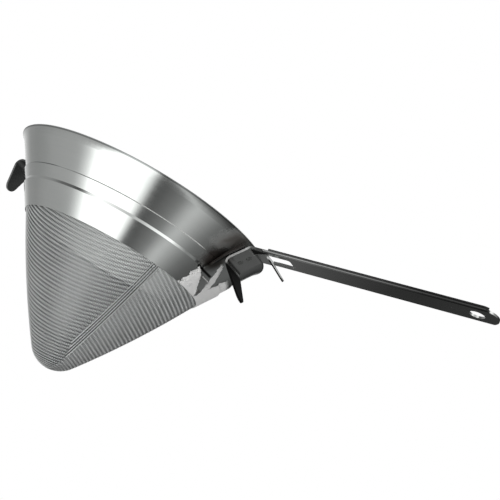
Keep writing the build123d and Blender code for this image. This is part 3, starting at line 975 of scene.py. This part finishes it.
def make_saddle_steel(marks, grain, tint, painted_light):
    """Saddle plate: mirror-like sheet, painted highlight in patches, painted shade on its near upper
    side.
    """
    made = Steel("saddle_steel")
    tree = made.tree
    lines = made.use(grain, Run=300.0, Lines=900.0)["Grain"]
    worn = made.use(marks, Smudge_Scale=60.0, Scratch_Scale=300.0)
    # Painted shade on the plate's near upper side, round the leg's weld
    heat_and_painted_dark = made.use(tint, Centre=WELD_TINT_AND_SHADE_CENTRE, Reach=12.0 * MM)["Mask"]
    # Painted highlight round the saddle, and painted shade along the groove
    painted_patch = made.use(painted_light)
    bright = painted_patch["Ground"]
    y, z = tree.split(made.place)[1:]
    high = tree.rise(z, SADDLE_UPPER_Z)
    # Painted shade beside the leg, and a painted dark strip on the plate's near side
    beside_leg = tree.times(tree.rise(y, BESIDE_LEG_FROM_Y), high, tree.fall(y, BESIDE_LEG_TO_Y))
    painted_dark_side = tree.times(tree.fall(y, DARK_SIDE_Y), high)
    colour = made.blend(lines, *SADDLE_CLEAN)
    colour = made.blend(tree.times(heat_and_painted_dark, 0.9), colour, SADDLE_PAINTED_SHADE)
    colour = made.blend(painted_dark_side, colour, DARK_SIDE_PAINTED_SHADE)
    colour = made.blend(tree.most(beside_leg, painted_patch["Groove"]), colour, PAINTED_SHADE_COLOUR)
    colour = made.blend(bright, colour, PAINTED_HIGHLIGHT_COLOUR)
    metal = tree.span(bright, 0.0, 1.0, 1.0, PAINTED_HIGHLIGHT_METALLIC)
    metal = tree.math("MINIMUM", metal, tree.rest_of(painted_dark_side))
    tree.feed(made.shader.inputs["Metallic"], metal)
    rough = tree.layered(0.12, (bright, 0.28), (lines, 0.12))
    raised = tree.layered(0.0, (lines, 0.5), (worn["Smudge"], 0.5))
    return made.finish(colour, rough, raised, SADDLE_GRAIN_DEPTH)


# Wire colours: clean, marked by water, in the lighter zone, and in the zone of painted highlight. The
# weft is painted much darker than the warp, a painted shade that brings out the twill
WARP_COLOURS = (
    (0.74, 0.755, 0.75, 1),
    (0.62, 0.635, 0.63, 1),
    (0.72, 0.735, 0.73, 1),
    (0.95, 0.96, 0.955, 1),
)
WEFT_COLOURS = (
    (0.05, 0.052, 0.052, 1),
    (0.035, 0.037, 0.037, 1),
    (0.36, 0.37, 0.365, 1),
    (0.85, 0.86, 0.855, 1),
)
REAR_WEFT_COLOURS = (
    (0.38, 0.385, 0.385, 1),
    (0.30, 0.305, 0.305, 1),
    (0.38, 0.385, 0.385, 1),
    (0.38, 0.385, 0.385, 1),
)
WIRE_METALLIC = 0.75
WIRE_GRAIN_DEPTH = 0.01 * MM


def make_mesh_steel(name, marks, colours):
    """Wire cloth: drawn wire, a little dull, marked by water in patches, with a lighter zone and a zone
    of painted highlight on its outer side.
    """
    clean, marked, lighter_zone, bright = colours
    made = Steel(name, WIRE_METALLIC)
    tree = made.tree
    worn = made.use(marks, Smudge_Scale=22.0, Scratch_Scale=900.0)
    colour = made.blend(tree.times(worn["Smudge"], 0.6), clean, marked)
    azimuth = on_wall(tree, made.place)[1]
    above_tip = tree.rise(tree.split(made.place)[2], LIGHTER_ZONE_FOOT)
    # A zone where the weft's painted shade is lighter, and a zone of painted highlight
    for middle, half_arc, share, shade in (
        (LIGHTER_ZONE_AZIMUTH, LIGHTER_ZONE_HALF_ARC, above_tip, lighter_zone),
        (BRIGHT_AZIMUTH, BRIGHT_HALF_ARC, 1.0, bright),
    ):
        zone = tree.fall(tree.off(azimuth, middle), (ZONE_MIDDLE, half_arc), True)
        colour = made.blend(tree.times(zone, share), colour, shade)
    rough = tree.layered(0.30, (worn["Smudge"], 0.12))
    return made.finish(colour, rough, noise(tree, made.place, 3000.0), WIRE_GRAIN_DEPTH)


WELD_CLEAN = (0.52, 0.52, 0.51, 1)
WELD_SMUDGED = (0.36, 0.35, 0.34, 1)
WELD_HEAT = (0.12, 0.09, 0.07, 1)
LEG_WELD_COLOUR = (0.39, 0.40, 0.39, 1)
LEG_WELDS_X = (94.0 * MM, 95.0 * MM)
WELD_RIPPLE_DEPTH = 0.02 * MM


def make_weld_steel(marks, tint, painted_light):
    """Welds: dull, darkened by heat, with fine ripples, and a painted highlight in the patch round the
    saddle. The leg's are rubbed flat and hardly show.
    """
    made = Steel("weld_steel")
    tree = made.tree
    worn = made.use(marks, Smudge_Scale=300.0, Scratch_Scale=900.0)
    heat_and_painted_dark = made.use(tint, Centre=WELD_TINT_AND_SHADE_CENTRE, Reach=20.0 * MM)["Mask"]
    colour = made.blend(worn["Smudge"], WELD_CLEAN, WELD_SMUDGED)
    colour = made.blend(tree.times(heat_and_painted_dark, 0.5), colour, WELD_HEAT)
    # Painted highlight round the saddle
    bright = made.use(painted_light)["Ground"]
    colour = made.blend(tree.times(bright, 0.9), colour, PAINTED_HIGHLIGHT_COLOUR)
    tree.feed(made.shader.inputs["Metallic"], tree.span(bright, 0.0, 1.0, 1.0, PAINTED_HIGHLIGHT_METALLIC))
    on_leg = tree.rise(tree.split(made.place)[0], LEG_WELDS_X)
    colour = made.blend(on_leg, colour, LEG_WELD_COLOUR)
    rough = tree.layered(0.25, (worn["Smudge"], 0.25), (on_leg, 0.35))
    return made.finish(colour, rough, noise(tree, made.place, 1500.0), WELD_RIPPLE_DEPTH)


def dress(node, material):
    """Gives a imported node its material."""
    for place in frame["nodes"][node].material_slots:
        place.material = material


marks, grain, tint, painted_light = handling_group(), grain_group(), tint_group(), painted_light_group()
band_steel = make_band_steel(marks, grain, tint, painted_light)
handle_steel = make_handle_steel(marks, grain, tint)
saddle_steel = make_saddle_steel(marks, grain, tint, painted_light)
warp_steel = make_mesh_steel("warp_steel", marks, WARP_COLOURS)
weft_steel = make_mesh_steel("weft_steel", marks, WEFT_COLOURS)
rear_weft_steel = make_mesh_steel("rear_weft_steel", marks, REAR_WEFT_COLOURS)
weld_steel = make_weld_steel(marks, tint, painted_light)
for node, material in (
    ("rim_band", band_steel),
    ("clamp_band", band_steel),
    ("handle", handle_steel),
    ("front_hook", handle_steel),
    ("handle_saddle", saddle_steel),
    ("handle_spot_welds", weld_steel),
    ("hook_spot_welds", weld_steel),
):
    dress(node, material)
weave_cloth(warp_steel, weft_steel, rear_weft_steel)
seam_wires(warp_steel, weft_steel)
tack_welds(weld_steel)


# Studio: pale floor, and a soft studio all round that the steel mirrors


def pale_floor():
    """A plain round floor well below the strainer."""
    mesh = bpy.data.meshes.new("floor")
    rim = []
    for side in range(FLOOR_SIDES):
        angle = 2 * pi * side / FLOOR_SIDES
        rim.append((FLOOR_RADIUS * cos(angle), FLOOR_RADIUS * sin(angle), -FLOOR_DROP))
    mesh.from_pydata(rim, [], [tuple(range(FLOOR_SIDES))])
    floor = add_object("floor", mesh)
    made = bpy.data.materials.new("floor_white")
    made.use_nodes = True
    shader = made.node_tree.nodes["Principled BSDF"]
    shader.inputs["Base Color"].default_value = FLOOR_COLOUR
    shader.inputs["Roughness"].default_value = FLOOR_ROUGHNESS
    mesh.materials.append(made)
    floor.visible_glossy = False


# Brightness of the studio by azimuth in degrees, in four rings from below to above, and where they meet.
# The numbers were set until the steel's tones came near the photograph's.
LOW_LIGHTS = (
    (0, 0.74), (12, 0.46), (25, 0.23), (37, 0.14), (48, 0.06), (72, 0.10), (95, 0.08), (106, 0.07),
    (120, 0.3), (138, 0.8), (146, 0.7), (155, 0.5), (163, 0.35), (181, 0.40), (195, 0.46), (211, 0.50),
    (222, 0.60), (233, 1.2), (238, 2.0), (296, 2.0), (302, 1.1), (308, 0.13), (317, 0.12), (328, 0.19),
    (342, 0.29), (350, 0.55), (357, 0.76),
)
MID_LIGHTS = (
    (0, 0.5), (12, 0.40), (25, 0.22), (37, 0.15), (48, 0.12), (72, 0.18), (90, 0.10), (110, 0.03),
    (125, 0.3), (140, 0.75), (148, 0.6), (158, 0.38), (172, 0.36), (190, 0.44), (206, 0.48),
    (222, 0.5), (238, 0.30), (262, 0.3), (290, 0.45), (330, 0.3), (358, 0.5),
)
BELT_LIGHTS = (
    (0, 0.7), (10, 0.35), (30, 0.25), (45, 0.04), (110, 0.02), (117, 0.8), (135, 1.0), (150, 0.6),
    (165, 0.38), (200, 0.36), (210, 0.30), (218, 0.18), (236, 0.14), (241, 0.06), (248, 0.25),
    (256, 1.4), (266, 1.8), (285, 1.1), (300, 0.8), (314, 0.7), (330, 1.4), (350, 1.9), (356, 1.0),
)
HIGH_LIGHTS = ((0, 1.3), (80, 0.7), (120, 0.4), (180, 0.9), (260, 1.8), (358, 1.3))
BRIGHTEST = 2.0
LOW_TO_MID = (-42.0, -30.0)
MID_TO_BELT = (-4.0, 9.0)
BELT_TO_HIGH = (26.0, 44.0)


def lights_by_azimuth(tree, turn, stops):
    """A ramp round the studio."""
    ramp = tree.node("ShaderNodeValToRGB", values={0: turn})
    stop_list = ramp.color_ramp.elements
    stop_list.remove(stop_list[1])
    for azimuth, value in stops:
        made = stop_list.new(azimuth / 360) if azimuth else stop_list[0]
        shade = value / BRIGHTEST
        made.color = (shade, shade, shade, 1.0)
    return ramp.outputs["Color"]


def soft_studio():
    """World: white to the camera, and a ring of soft lights and dark flags to everything else."""
    world = bpy.data.worlds.new("studio")
    bpy.context.scene.world = world
    world.use_nodes = True
    world.node_tree.nodes.clear()
    tree = Tree(world.node_tree)
    heading = tree.node("ShaderNodeTexCoord").outputs["Generated"]
    part = tree.split(tree.vector("NORMALIZE", heading))
    turn = tree.math("DIVIDE", tree.math("ARCTAN2", part[1], part[0]), 2 * pi)
    turn = tree.math("FRACT", tree.math("ADD", turn, 1.0))
    height = tree.math("DIVIDE", tree.math("ARCSINE", part[2]), radians(1.0))
    whole = lights_by_azimuth(tree, turn, LOW_LIGHTS)
    for meeting, lights in (
        (LOW_TO_MID, MID_LIGHTS),
        (MID_TO_BELT, BELT_LIGHTS),
        (BELT_TO_HIGH, HIGH_LIGHTS),
    ):
        above = lights_by_azimuth(tree, turn, lights)
        values = {0: tree.rise(height, meeting, True), 6: whole, 7: above}
        whole = tree.node("ShaderNodeMix", {"data_type": "RGBA"}, values).outputs[2]
    studio = tree.node("ShaderNodeBackground", values={"Color": whole, "Strength": BRIGHTEST})
    white = tree.node("ShaderNodeBackground", values={"Color": (1, 1, 1, 1), "Strength": 1.0})
    camera_ray = tree.node("ShaderNodeLightPath").outputs["Is Camera Ray"]
    values = {0: camera_ray, 1: studio.outputs[0], 2: white.outputs[0]}
    both = tree.node("ShaderNodeMixShader", values=values)
    tree.node("ShaderNodeOutputWorld", values={"Surface": both.outputs[0]})


def photo_camera():
    """Camera at the photograph's angle."""
    data = bpy.data.cameras.new("camera")
    data.sensor_width = CAMERA_SENSOR_MM
    data.lens = CAMERA_LENS_MM
    camera = add_object("camera", data)
    axes = (Vector(CAMERA_RIGHT), -Vector(CAMERA_DOWN), -Vector(CAMERA_FORWARD))
    turned = Matrix(axes).transposed().to_4x4()
    turned.translation = Vector(CAMERA_PLACE)
    camera.matrix_world = turned
    bpy.context.scene.camera = camera


pale_floor()
soft_studio()
photo_camera()
bpy.context.scene.view_settings.view_transform = "Standard"
